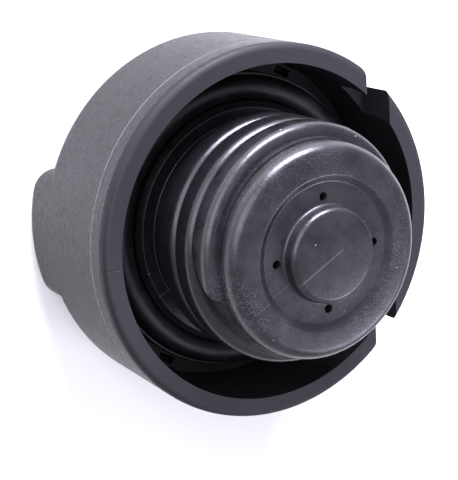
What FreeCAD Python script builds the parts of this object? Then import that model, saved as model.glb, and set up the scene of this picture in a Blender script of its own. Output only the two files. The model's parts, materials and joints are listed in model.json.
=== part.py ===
import FreeCAD, Part
import Sketcher
import math
import os
import re

# Fuel filler cap, in millimetres. It stands on the flat outer face of its grip bar, plug upwards.
# Z is the axis of the plug and the shell, X runs along the grip bar towards the slotted side.

doc = FreeCAD.newDocument("fuel_filler_cap")
sheet = doc.addObject("Spreadsheet::Sheet", "sizes")

SIZES = [
    # shell
    ("cavity_depth", 28.4, "height of the rim face over the floor"),
    ("rim_edge_round", 1.4, "rounding of the rim's outer edge"),
    ("lip_thickness", 4.3, "thickness of the skirt at the rim"),
    ("lip_depth", 6.0, "depth of the tapered lip inside the rim"),
    ("skirt_thickness", 3.7, "thickness of the skirt below the lip"),
    ("flange_gap", 4.0, "gap between the plug's flange and the skirt"),
    ("grip_depth", 8.0, "height of the grip bar over the back"),
    ("back_wall", 2.6, "thickness of the back"),
    ("back_edge_round", 3.7, "rounding between back and skirt"),
    ("grip_end_width", 32.0, "width of the grip bar at its ends"),
    ("grip_waist_width", 19.0, "width of the grip bar at its middle"),
    ("grip_corner_round", 5.5, "rounding of the bar's upright corners"),
    ("grip_edge_round", 3.4, "rounding of the bar's outer face"),
    ("grip_wall", 2.8, "wall of the hollow grip bar"),
    ("slot_inset", 11.4, "how far the rim slots begin inside the lip"),
    ("slot_width", 5.9, "width of the rim slots"),
    ("slot_depth", 10.0, "depth of the rim slots"),
    ("slot_corner_round", 3.5, "rounding of the rim's corner at the slots"),
    ("ledge_height", 4.4, "height of the ledge under the retaining ring"),
    ("ledge_width", 2.1, "width of that ledge"),
    ("bead_height", 0.5, "how far the snap beads stand in from the skirt"),
    ("bead_length", 1.6, "height of a snap bead along the axis"),
    ("bead_angle", 9.0, "angle that a snap bead covers"),
    # retaining ring
    ("ring_thickness", 2.0, "thickness of the retaining ring"),
    ("ring_width", 6.25, "width of the retaining ring"),
    ("window_inset", 2.1, "distance of the ring's windows from the skirt"),
    ("window_length", 4.0, "length of a window"),
    ("window_width", 1.8, "width of a window"),
    # ratchet
    ("ratchet_gap", 0.7, "gap between the ratchet ring and the plug's skirt"),
    ("ratchet_wall", 1.6, "wall of the ratchet ring behind its teeth"),
    ("tooth_depth", 1.4, "depth of its teeth"),
    ("peg_radius", 1.5, "radius of the ring's locking pegs"),
    ("peg_length", 1.4, "length of the pegs"),
    ("pawl_gap", 2.3, "gap between the pawl arms and the teeth"),
    ("pawl_arm_thickness", 1.7, "thickness of a pawl arm"),
    ("pawl_space", 3.7, "space in which a pawl arm bends"),
    ("pawl_sweep", 52.0, "angle that a pawl arm covers"),
    ("pawl_foot", 9.0, "angle that the arm's foot covers on the hub"),
    ("pawl_backlash", 0.8, "angle between pawl and tooth at rest"),
    ("hub_wall", 3.4, "wall of the pawl disc's hub"),
    ("disc_thickness", 1.6, "thickness of the pawl disc"),
    ("spline_end_gap", 1.5, "room over the disc's spline collar"),
    ("spline_web", 3.0, "width of the webs that drive the plug"),
    # springs under the clutch
    ("wave_height", 2.3, "free height of the wave spring"),
    ("strip_thickness", 0.4, "thickness of spring strip and thrust washer"),
    ("wave_width", 4.5, "width of the wave spring"),
    ("land_margin", 0.9, "how far the round land under the wave spring reaches past it"),
    # plug
    ("plug_radius", 23.2, "radius of the barrel and thread root"),
    ("barrel_wall", 3.0, "wall of the barrel"),
    ("barrel_length", 31.4, "length of the barrel from the collar to the end face"),
    ("seat_width", 1.3, "width of the step that the valve housing meets"),
    ("seat_depth", 4.3, "distance of that step from the end wall"),
    ("nose_wall", 2.6, "thickness of the end wall"),
    ("face_edge_round", 2.9, "rounding of the end face's edge"),
    ("face_rim_width", 4.0, "width of the flat rim round the end face"),
    ("nose_length", 1.5, "length of the plain nose between the thread and that rounding"),
    ("nose_step", 0.4, "how much smaller the nose is than the thread's root"),
    ("recess_depth", 0.8, "depth of the recess inside that rim"),
    ("recess_slope", 1.0, "width of the recess's sloping edge"),
    ("boss_radius", 10.05, "radius of the central boss"),
    ("boss_height", 3.3, "height of the boss over the recess"),
    ("boss_edge_round", 1.4, "rounding of the boss's edge"),
    ("boss_foot_bevel", 0.6, "bevel at the foot of the boss"),
    ("boss_wall", 2.3, "wall of the hollow boss"),
    ("vent_radius", 0.85, "radius of a vent hole"),
    ("vent_gap", 1.85, "distance of the vent holes from the boss"),
    ("collar_step", 4.0, "how far the collar inside the seal stands out from the barrel"),
    ("collar_height", 5.7, "height of the collar over the seal's seat"),
    ("collar_chamfer", 1.2, "chamfer of the collar"),
    ("flange_thickness", 2.3, "thickness of the seal flange"),
    ("ridge_height", 2.4, "height of the flange's outer ridge"),
    ("ridge_width", 0.7, "width of that ridge"),
    ("skirt_wall", 2.3, "wall of the plug's rear skirt"),
    ("shoulder_width", 1.1, "width of the thrust shoulder over the retaining ring"),
    ("shoulder_height", 2.0, "height of that shoulder"),
    ("catch_width", 1.3, "how far the catch under the retaining ring stands out"),
    ("catch_height", 1.8, "height of the catch"),
    ("collar_wall", 1.8, "wall between the collar's outside and its cored groove"),
    ("core_width", 3.0, "width of that groove"),
    ("core_depth", 5.7, "depth of that groove"),
    # thread
    ("thread_height", 2.8, "height of the thread over the barrel"),
    ("thread_pitch", 6.8, "pitch of the thread"),
    ("thread_offset", 4.7, "distance from the collar to the thread's rear edge where it starts"),
    ("thread_start_angle", 30.0, "angle of the start"),
    ("crest_width", 3.6, "width of the thread's crest"),
    ("flank_round", 2.0, "rounding of the thread's front edge, in two flats"),
    ("run_out_angle", 21.0, "angle over which the thread's end is cut away"),
    ("run_out_margin", 2.0, "how far the cut runs past the thread's end"),
    # seals
    ("seal_section_radius", 2.7, "section radius of the neck seal"),
    ("housing_seal_width", 2.0, "width of the valve housing's square seal"),
    ("housing_seal_height", 2.1, "height of that seal"),
    # valve
    ("housing_length", 21.0, "length of the valve housing without its spigot"),
    ("housing_wall", 2.4, "wall of the valve housing"),
    ("housing_front_wall", 2.2, "thickness of the wall with the valve port"),
    ("port_lip_width", 0.8, "width of the port's sealing lip"),
    ("port_lip_height", 0.8, "height of that lip"),
    ("spigot_wall", 0.8, "wall of the housing's spigot"),
    ("spigot_height", 2.2, "height of the spigot"),
    ("snap_offset", 1.6, "distance of the housing's snap bead from its rear end"),
    ("snap_height", 0.25, "how far that bead stands out"),
    ("cover_thickness", 2.0, "thickness of the spring cover"),
    ("cover_step", 0.9, "step in the housing that the spring cover meets"),
    ("guide_gap", 1.3, "gap between the cover's guide tube and the spring keeper"),
    ("guide_wall", 1.2, "wall of the guide tube"),
    ("guide_height", 4.0, "height of the guide tube"),
    ("cover_vent_radius", 1.6, "radius of the spring cover's vent holes"),
    ("cover_vent_inset", 3.15, "distance of those holes from the housing's wall"),
    ("plate_overlap", 4.2, "how far the pressure plate reaches past the port"),
    ("plate_thickness", 1.5, "thickness of the pressure plate"),
    ("plate_rim_width", 0.9, "width of the plate's spring rim"),
    ("plate_rim_height", 2.0, "height of that rim"),
    ("pressure_seal_width", 4.6, "width of the pressure seal"),
    ("pressure_seal_thickness", 1.1, "thickness of the pressure seal"),
    ("stem_radius", 1.2, "radius of the vacuum valve's stem"),
    ("stem_groove_depth", 0.25, "depth of the stem's groove"),
    ("stem_tip_length", 0.9, "length of the stem below its groove"),
    ("head_radius", 6.1, "radius of the vacuum valve's head"),
    ("head_gap", 2.9, "gap between the head and the port"),
    ("head_thickness", 1.2, "thickness of the head"),
    ("vacuum_seal_thickness", 0.9, "thickness of the vacuum seal"),
    ("plate_hub_wall", 1.3, "wall of the plate's hub"),
    ("plate_hub_height", 1.4, "height of the plate's hub"),
    ("plate_vent_radius", 0.6, "radius of the plate's vent holes"),
    ("plate_vent_gap", 0.8, "distance of those holes from the hub"),
    ("keeper_width", 2.1, "how far the spring keeper stands out from the stem"),
    ("keeper_thickness", 1.0, "thickness of the keeper"),
    ("pressure_wire_radius", 0.55, "radius of the pressure spring's wire"),
    ("coil_inset", 2.8, "distance of that wire from the plate's edge"),
    ("pressure_coils", 4.0, "turns of the pressure spring"),
    ("vacuum_wire_radius", 0.22, "radius of the vacuum spring's wire"),
    ("vacuum_coil_gap", 0.8, "distance of that wire from the stem"),
    ("vacuum_coils", 4.0, "turns of the vacuum spring"),
    ("vacuum_spring_length", 3.9, "length of the vacuum spring"),
    # clearances
    ("running_fit", 0.1, "radial gap of parts that turn or slide in each other"),
    ("axial_play", 0.3, "gap between faces that pass each other"),
    ("press_gap", 0.05, "radial gap of parts that are pushed together"),
]

# Levels and radii that follow from the sizes above and from those before them in this list
WORKED_OUT = [
    # levels over the outer face of the grip
    ("floor_level", "grip_depth + back_wall"),
    ("rim_level", "floor_level + cavity_depth"),
    ("ledge_level", "floor_level + ledge_height"),
    ("ring_top", "ledge_level + ring_thickness"),
    ("flange_bottom", "ring_top + axial_play + shoulder_height"),
    ("seal_level", "flange_bottom + flange_thickness"),
    ("collar_level", "seal_level + collar_height"),
    ("face_level", "collar_level + barrel_length"),
    ("recess_level", "face_level - recess_depth"),
    ("nose_level", "recess_level - nose_wall"),
    ("seat_step_level", "nose_level - seat_depth"),
    ("housing_rear_level", "seat_step_level - housing_length"),
    ("snap_level", "housing_rear_level + snap_offset"),
    # radii of the plug and, outwards from it, of the shell
    ("plug_bore_radius", "plug_radius - barrel_wall"),
    ("nose_bore_radius", "plug_bore_radius - seat_width"),
    ("nose_radius", "plug_radius - nose_step"),
    ("recess_radius", "nose_radius - face_edge_round - face_rim_width"),
    ("vent_distance", "boss_radius + vent_gap"),
    ("crest_radius", "plug_radius + thread_height"),
    ("collar_radius", "plug_radius + collar_step"),
    ("core_outer_radius", "collar_radius - collar_wall"),
    ("core_inner_radius", "core_outer_radius - core_width"),
    ("flange_radius", "collar_radius + 2 * seal_section_radius + ridge_width"),
    ("cavity_radius", "flange_radius + flange_gap"),
    ("rim_radius", "cavity_radius + skirt_thickness"),
    ("lip_radius", "rim_radius - lip_thickness"),
    ("slot_offset", "lip_radius - slot_inset"),
    # radii of the clutch, inwards from the skirt
    ("window_radius", "cavity_radius - window_inset"),
    ("ring_inner_radius", "cavity_radius - press_gap - ring_width"),
    ("skirt_radius", "ring_inner_radius - running_fit"),
    ("ratchet_outer_radius", "skirt_radius - skirt_wall - ratchet_gap"),
    ("ratchet_root_radius", "ratchet_outer_radius - ratchet_wall"),
    ("ratchet_tip_radius", "ratchet_root_radius - tooth_depth"),
    ("pawl_arm_radius", "ratchet_tip_radius - pawl_gap"),
    ("hub_outer_radius", "pawl_arm_radius - pawl_arm_thickness - pawl_space"),
    ("hub_inner_radius", "hub_outer_radius - hub_wall"),
    ("wave_inner_radius", "hub_inner_radius + axial_play"),
    ("wave_outer_radius", "wave_inner_radius + wave_width"),
    ("land_inner_radius", "wave_inner_radius - land_margin"),
    ("land_outer_radius", "wave_outer_radius + land_margin"),
    # radii of the valve, outwards from its stem and its head
    ("plate_hub_radius", "stem_radius + running_fit + plate_hub_wall"),
    ("plate_vent_distance", "plate_hub_radius + plate_vent_gap"),
    ("keeper_radius", "stem_radius + keeper_width"),
    ("guide_radius", "keeper_radius + guide_gap"),
    ("vacuum_coil_radius", "stem_radius + vacuum_coil_gap"),
    ("port_radius", "head_radius + head_gap"),
    ("plate_radius", "port_radius + plate_overlap"),
    ("pressure_coil_radius", "plate_radius - coil_inset"),
    ("cover_vent_distance", "plug_bore_radius - press_gap - housing_wall - cover_vent_inset"),
]

TOOTH_COUNT = 24
PAWL_COUNT = 4
BEAD_COUNT = 6
VENT_COUNT = 4
VALVE_VENT_COUNT = 6
WAVE_COUNT = 3
POINTS_PER_WAVE = 4
# spring wire is drawn with flat sides, because round wire needs very many facets
WIRE_SIDES = 6
# angle at which the two flats of a rounding meet
ROUND_MIDDLE = 45
# shares of one tooth's angle
TOOTH_GAP_SHARE = 0.92
PAWL_TOOTH_SHARE = 0.62


class Size:
    """A length that knows its value and the sheet expression that gives it."""

    def __init__(self, text, value):
        self.text = text
        self.value = value

    def joined(self, sign, other, value):
        return Size("(%s %s %s)" % (self.text, sign, as_size(other).text), value)

    def __add__(self, other):
        return self.joined("+", other, self.value + as_size(other).value)

    def __sub__(self, other):
        return self.joined("-", other, self.value - as_size(other).value)

    def __mul__(self, other):
        return self.joined("*", other, self.value * as_size(other).value)

    def __truediv__(self, other):
        return self.joined("/", other, self.value / as_size(other).value)

    def __neg__(self):
        return Size("(0 - %s)" % self.text, -self.value)


def as_size(number):
    if isinstance(number, Size):
        return number
    return Size("%.9g" % number, float(number))


def root_of(size):
    return Size("sqrt(%s)" % size.text, math.sqrt(size.value))


def cosine(angle):
    return Size("cos(%s * 1 deg)" % as_size(angle).text, math.cos(math.radians(as_size(angle).value)))


def sine(angle):
    return Size("sin(%s * 1 deg)" % as_size(angle).text, math.sin(math.radians(as_size(angle).value)))


for row, (alias, number, note) in enumerate(SIZES, start=1):
    sheet.set("A%d" % row, note)
    sheet.set("B%d" % row, "%g" % number)
    sheet.setAlias("B%d" % row, alias)


def full_name(alias):
    """Name of a size in an expression: the sheet's own, or one that is worked out from it."""
    owner = "derived" if alias in dict(WORKED_OUT) else "sizes"
    return "%s.%s" % (owner, alias)


derived = doc.addObject("App::VarSet", "derived")
for alias, rule in WORKED_OUT:
    derived.addProperty("App::PropertyFloat", alias)
    derived.setExpression(alias, re.sub("[a-z_]+", lambda word: full_name(word.group()), rule))
doc.recompute()


def size(alias):
    known = getattr(derived, alias) if alias in dict(WORKED_OUT) else sheet.get(alias)
    return Size(full_name(alias), float(known))


def bind(feature, prop, value):
    """Binds a property to the sheet."""
    feature.setExpression(prop, as_size(value).text)


def new_body(name):
    body = doc.addObject("PartDesign::Body", name + "_body")
    body.Label = name
    return body


def origin_plane(body, role):
    return [item for item in body.Origin.OriginFeatures if item.Role == role][0]


def arc_centre(start, end, radius, turn):
    """Centre of the short arc from start to end; turn is 1 when it runs anticlockwise."""
    mid_x = (start[0] + end[0]) / 2
    mid_y = (start[1] + end[1]) / 2
    chord_x = end[0] - start[0]
    chord_y = end[1] - start[1]
    chord = math.hypot(chord_x, chord_y)
    rise = math.sqrt(max(radius ** 2 - chord ** 2 / 4, 0.0))
    return (mid_x - turn * rise * chord_y / chord, mid_y + turn * rise * chord_x / chord)


def outline(body, name, role, corners, level=None):
    """A closed sketch. A corner is (x, y), or (x, y, radius, turn) where an arc leaves it."""
    sketch = body.newObject("Sketcher::SketchObject", name)
    sketch.AttachmentSupport = (origin_plane(body, role), [""])
    sketch.MapMode = "FlatFace"
    if level is not None:
        bind(sketch, "AttachmentOffset.Base.z", level)
    add_loop(sketch, corners)
    return sketch


def add_loop(sketch, corners):
    """Adds one closed loop of lines and arcs, each corner bound to the sheet."""
    places = [(as_size(corner[0]), as_size(corner[1])) for corner in corners]
    values = [(place[0].value, place[1].value) for place in places]
    first = sketch.GeometryCount
    ends = []
    for index, corner in enumerate(corners):
        start = values[index]
        end = values[(index + 1) % len(corners)]
        if len(corner) == 2:
            line = Part.LineSegment(FreeCAD.Vector(*start, 0), FreeCAD.Vector(*end, 0))
            sketch.addGeometry(line, False)
            ends.append((1, 2))
            continue
        radius, turn = as_size(corner[2]), corner[3]
        centre = arc_centre(start, end, radius.value, turn)
        angles = [math.atan2(point[1] - centre[1], point[0] - centre[0]) for point in (start, end)]
        if turn < 0:
            angles.reverse()
        circle = Part.Circle(FreeCAD.Vector(*centre, 0), FreeCAD.Vector(0, 0, 1), radius.value)
        sketch.addGeometry(Part.ArcOfCircle(circle, angles[0], angles[1]), False)
        ends.append((1, 2) if turn > 0 else (2, 1))
    for index, corner in enumerate(corners):
        following = (index + 1) % len(corners)
        sketch.addConstraint(Sketcher.Constraint(
            "Coincident", first + index, ends[index][1], first + following, ends[following][0]))
    for index, corner in enumerate(corners):
        for axis, kind in ((0, "DistanceX"), (1, "DistanceY")):
            place_point(sketch, first + index, ends[index][0], axis, kind, places[index][axis])
        if len(corner) > 2:
            radius = as_size(corner[2])
            number = sketch.addConstraint(Sketcher.Constraint("Radius", first + index, radius.value))
            sketch.setExpression("Constraints[%d]" % number, radius.text)


def place_point(sketch, edge, end, axis, kind, place):
    if place.text == "0":
        sketch.addConstraint(Sketcher.Constraint("PointOnObject", edge, end, -2 if axis == 0 else -1))
        return
    number = sketch.addConstraint(Sketcher.Constraint(kind, -1, 1, edge, end, place.value))
    sketch.setExpression("Constraints[%d]" % number, place.text)


def add_circle(sketch, x, y, radius):
    """Adds a full circle, bound to the sheet."""
    x, y, radius = as_size(x), as_size(y), as_size(radius)
    circle = Part.Circle(FreeCAD.Vector(x.value, y.value, 0), FreeCAD.Vector(0, 0, 1), radius.value)
    edge = sketch.addGeometry(circle, False)
    place_point(sketch, edge, 3, 0, "DistanceX", x)
    place_point(sketch, edge, 3, 1, "DistanceY", y)
    number = sketch.addConstraint(Sketcher.Constraint("Radius", edge, radius.value))
    sketch.setExpression("Constraints[%d]" % number, radius.text)


def circles(body, name, level, discs):
    """A sketch of full circles, seen along the axis, at a given height."""
    sketch = body.newObject("Sketcher::SketchObject", name)
    sketch.AttachmentSupport = (origin_plane(body, "XY_Plane"), [""])
    sketch.MapMode = "FlatFace"
    bind(sketch, "AttachmentOffset.Base.z", level)
    for x, y, radius in discs:
        add_circle(sketch, x, y, radius)
    return sketch


def turned(body, name, corners, kind="PartDesign::Revolution", angle=None):
    """Revolves a half section, given as radius and height, about Z."""
    sketch = outline(body, name + "_section", "XZ_Plane", corners)
    feature = body.newObject(kind, name)
    feature.Profile = sketch
    feature.ReferenceAxis = (sketch, ["V_Axis"])
    if angle is None:
        feature.Angle = 360
    else:
        bind(feature, "Angle", angle)
        feature.Midplane = True
    doc.recompute()
    return feature


def raised(body, name, sketch, length):
    """Pads a sketch upwards."""
    feature = body.newObject("PartDesign::Pad", name)
    feature.Profile = sketch
    bind(feature, "Length", length)
    doc.recompute()
    return feature


def sunk(body, name, sketch, length):
    """Pockets a sketch downwards and makes sure that it removes material."""
    before = body.Shape.Volume
    feature = body.newObject("PartDesign::Pocket", name)
    feature.Profile = sketch
    bind(feature, "Length", length)
    doc.recompute()
    if body.Shape.Volume > before - 0.01:
        raise RuntimeError("%s removes nothing" % name)
    return feature


def repeated(body, name, features, count):
    """Repeats features round the axis."""
    pattern = body.newObject("PartDesign::PolarPattern", name)
    pattern.Originals = features
    pattern.Axis = (features[0].Profile[0], ["N_Axis"])
    pattern.Angle = 360
    pattern.Occurrences = count
    body.Tip = pattern
    doc.recompute()
    return pattern


def ring_section(inner, outer, bottom, top):
    return [(inner, bottom), (outer, bottom), (outer, top), (inner, top)]


def simple_ring(name, inner, outer, bottom, top):
    body = new_body(name)
    turned(body, name + "_turning", ring_section(inner, outer, bottom, top))
    return body


# Levels and radii that several functions use
back_level = size("grip_depth")
floor_level = size("floor_level")
ring_top = size("ring_top")
ledge_radius = size("cavity_radius") - size("ledge_width")
wave_top = floor_level + size("wave_height")
washer_top = wave_top + size("strip_thickness")
flange_bottom = size("flange_bottom")
spline_top = flange_bottom + size("core_depth") - size("spline_end_gap")
disc_top = flange_bottom - size("axial_play")
disc_bottom = disc_top - size("disc_thickness")
ratchet_top = disc_bottom - size("axial_play")
pawl_top = ratchet_top - size("press_gap")
pawl_bottom = washer_top + size("press_gap")
catch_top = size("ledge_level") - size("axial_play")
catch_bottom = catch_top - size("catch_height")
shoulder_bottom = ring_top + size("axial_play")
recess_level = size("recess_level")
boss_top = recess_level + size("boss_height")
nose_level = size("nose_level")
nose_start = size("face_level") - size("face_edge_round") - size("nose_length")
skirt_inner = size("skirt_radius") - size("skirt_wall")
housing_outer = size("plug_bore_radius") - size("press_gap")
housing_inner = housing_outer - size("housing_wall")
cover_top = size("housing_rear_level") + size("cover_thickness")
port_wall_level = size("seat_step_level") - size("housing_front_wall")
lip_level = port_wall_level - size("port_lip_height")
plate_top = lip_level - size("pressure_seal_thickness")
plate_bottom = plate_top - size("plate_thickness")
hub_bottom = plate_bottom - size("plate_hub_height")
head_bottom = plate_top + size("vacuum_seal_thickness")
keeper_top = hub_bottom - size("vacuum_spring_length")
keeper_bottom = keeper_top - size("keeper_thickness")
housing_seal_outer = size("nose_bore_radius") - size("press_gap")
housing_seal_inner = housing_seal_outer - size("housing_seal_width")
spigot_radius = housing_seal_inner - size("press_gap")


def grip_scoop():
    """Radius of the finger scoops beside the grip bar and the distance of their centres."""
    half_end = size("grip_end_width") / 2
    half_waist = size("grip_waist_width") / 2
    rise = half_end - half_waist
    run_squared = size("rim_radius") * size("rim_radius") - half_end * half_end
    radius = (run_squared + rise * rise) / (rise * 2)
    return radius, half_waist + radius


def crossing(reach, side_reach, distance):
    """Point at one reach from the axis and at another from a centre on the Y axis."""
    y = (reach * reach - side_reach * side_reach + distance * distance) / (distance * 2)
    return root_of(reach * reach - y * y), y


def grip_outline(inset):
    """Corners of the grip bar seen along the axis, waisted for the fingers, inset by a wall."""
    end_radius = size("rim_radius") - inset
    scoop_radius, scoop_centre = grip_scoop()
    side_radius = scoop_radius + inset
    corner_round = size("grip_corner_round") - inset
    corner_reach = end_radius - corner_round
    side_reach = side_radius + corner_round
    centre_x, centre_y = crossing(corner_reach, side_reach, scoop_centre)
    end_share = end_radius / corner_reach
    side_share = side_radius / side_reach
    end_x = centre_x * end_share
    end_y = centre_y * end_share
    side_x = centre_x * side_share
    side_y = scoop_centre - (scoop_centre - centre_y) * side_share
    return [
        (end_x, -end_y, end_radius, 1),
        (end_x, end_y, corner_round, 1),
        (side_x, side_y, side_radius, -1),
        (-side_x, side_y, corner_round, 1),
        (-end_x, end_y, end_radius, 1),
        (-end_x, -end_y, corner_round, 1),
        (-side_x, -side_y, side_radius, -1),
        (side_x, -side_y, corner_round, 1),
    ]


def add_grip_core(body):
    """Hollows the grip bar from inside in three bays, and leaves a round land between them."""
    scoop_radius, scoop_centre = grip_scoop()
    wall = size("grip_wall")
    side_radius = scoop_radius + wall
    inner, outer, end = size("land_inner_radius"), size("land_outer_radius"), size("rim_radius") - wall
    inner_x, inner_y = crossing(inner, side_radius, scoop_centre)
    outer_x, outer_y = crossing(outer, side_radius, scoop_centre)
    end_x, end_y = crossing(end, side_radius, scoop_centre)
    sketch = outline(body, "grip_core_outline", "XY_Plane", [
        (inner_x, -inner_y, inner, 1),
        (inner_x, inner_y, side_radius, -1),
        (-inner_x, inner_y, inner, 1),
        (-inner_x, -inner_y, side_radius, -1),
    ], floor_level)
    add_loop(sketch, [
        (outer_x, -outer_y, side_radius, -1),
        (end_x, -end_y, end, 1),
        (end_x, end_y, side_radius, -1),
        (outer_x, outer_y, outer, -1),
    ])
    add_loop(sketch, [
        (-outer_x, outer_y, side_radius, -1),
        (-end_x, end_y, end, 1),
        (-end_x, -end_y, side_radius, -1),
        (-outer_x, -outer_y, outer, -1),
    ])
    sunk(body, "grip_core", sketch, floor_level - wall)


def edges_at(shape, level):
    """Names of the edges that lie wholly in one level plane."""
    names = []
    for number, edge in enumerate(shape.Edges, start=1):
        box = edge.BoundBox
        if abs(box.ZMin - level) < 1e-4 and abs(box.ZMax - level) < 1e-4:
            names.append("Edge%d" % number)
    return names


def make_outer_shell():
    """Moulded cap: skirt with two rim slots, back, hollow grip bar, ledge and snap beads."""
    body = new_body("outer_shell")
    rim, top, edge = size("rim_radius"), size("rim_level"), size("rim_edge_round")
    back_round = size("back_edge_round")
    turned(body, "outer_form", [
        (0, back_level),
        (rim - back_round, back_level, back_round, 1),
        (rim, back_level + back_round),
        (rim, top - edge, edge, 1),
        (rim - edge, top),
        (0, top),
    ])
    bar = outline(body, "grip_outline", "XY_Plane", grip_outline(as_size(0)))
    grip_bar = raised(body, "grip_bar", bar, back_level + back_round)
    grip_edges = body.newObject("PartDesign::Fillet", "grip_edges")
    grip_edges.Base = (grip_bar, edges_at(grip_bar.Shape, 0.0))
    bind(grip_edges, "Radius", size("grip_edge_round"))
    doc.recompute()
    turned(body, "cavity", [
        (0, floor_level),
        (ledge_radius, floor_level),
        (ledge_radius, size("ledge_level")),
        (size("cavity_radius"), size("ledge_level")),
        (size("cavity_radius"), top - size("lip_depth")),
        (size("lip_radius"), top),
        (0, top),
    ], kind="PartDesign::Groove")
    add_grip_core(body)
    add_rim_slots(body)
    add_peg_holes(body)
    add_snap_beads(body)
    return body


def add_rim_slots(body):
    """Two slots in the rim, parallel to Y, with one rounded corner each."""
    near, reach = size("slot_offset"), size("rim_radius")
    far = near + size("slot_width")
    turn = size("slot_corner_round")
    centre_x = near - turn
    centre_y = root_of((reach - turn) * (reach - turn) - centre_x * centre_x)
    share = reach / (reach - turn)
    lip = size("lip_radius")
    inside = root_of(lip * lip - far * far) - size("axial_play")
    outside = reach + turn
    for side, name in ((1, "upper_slot"), (-1, "lower_slot")):
        corners = [
            (near, inside * side),
            (near, centre_y * side, turn, side),
            (centre_x * share, centre_y * share * side),
            (centre_x * share, outside * side),
            (far, outside * side),
            (far, inside * side),
        ]
        cut = outline(body, name + "_outline", "XY_Plane", corners, size("rim_level"))
        sunk(body, name, cut, size("slot_depth"))


def peg_places():
    """Places of the ratchet ring's pegs, between the grip bar and the skirt."""
    distance = (size("ratchet_outer_radius") + size("ratchet_root_radius")) / 2 - size("peg_radius") / 2
    reach = distance / root_of(as_size(2))
    return [(reach * x, reach * y) for x in (1, -1) for y in (1, -1)]


def add_peg_holes(body):
    radius = size("peg_radius") + size("press_gap")
    holes = circles(body, "peg_hole_outline", floor_level, [(x, y, radius) for x, y in peg_places()])
    sunk(body, "peg_holes", holes, size("peg_length") + size("press_gap"))


def add_snap_beads(body):
    """Short beads inside the skirt that hold the retaining ring down."""
    wall = size("cavity_radius")
    bottom = ring_top + size("press_gap")
    top = bottom + size("bead_length")
    bead = turned(body, "snap_bead", [
        (wall + size("bead_height"), bottom),
        (wall - size("bead_height"), bottom),
        (wall, top),
        (wall + size("bead_height"), top),
    ], angle=size("bead_angle"))
    pattern = body.newObject("PartDesign::PolarPattern", "snap_beads")
    pattern.Originals = [bead]
    pattern.Axis = (bead.Profile[0], ["V_Axis"])
    pattern.Angle = 360
    pattern.Occurrences = BEAD_COUNT
    body.Tip = pattern
    doc.recompute()


def make_retaining_ring():
    """Flat ring that snaps into the skirt and holds the plug, with a window under each bead."""
    body = new_body("retaining_ring")
    turned(body, "ring_turning", ring_section(
        size("ring_inner_radius"), size("cavity_radius") - size("press_gap"),
        size("ledge_level"), ring_top))
    half_length, half_width = size("window_length") / 2, size("window_width") / 2
    middle = size("window_radius")
    window = outline(body, "window_outline", "XY_Plane", [
        (middle - half_width, -half_length),
        (middle + half_width, -half_length),
        (middle + half_width, half_length),
        (middle - half_width, half_length),
    ], ring_top)
    cut = sunk(body, "window", window, size("ring_thickness"))
    repeated(body, "windows", [cut], BEAD_COUNT)
    return body


def make_ratchet_ring():
    """Ring of saw teeth that is pegged to the shell's floor."""
    body = new_body("ratchet_ring")
    turned(body, "ratchet_turning", ring_section(
        size("ratchet_tip_radius"), size("ratchet_outer_radius"), floor_level, ratchet_top))
    pegs = circles(body, "peg_outline", floor_level - size("peg_length"),
                   [(x, y, size("peg_radius")) for x, y in peg_places()])
    raised(body, "pegs", pegs, size("peg_length") + size("axial_play"))
    root, tip = size("ratchet_root_radius"), size("ratchet_tip_radius")
    pitch = 360.0 / TOOTH_COUNT
    inside = tip - size("axial_play")
    gap_angle = pitch * TOOTH_GAP_SHARE
    gap = outline(body, "tooth_gap_outline", "XY_Plane", [
        (inside, 0),
        (root, 0),
        (tip * cosine(gap_angle), -tip * sine(gap_angle)),
        (inside * cosine(gap_angle), -inside * sine(gap_angle)),
    ], ratchet_top)
    cut = sunk(body, "tooth_gap", gap, ratchet_top - floor_level)
    repeated(body, "teeth", [cut], TOOTH_COUNT)
    return body


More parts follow.
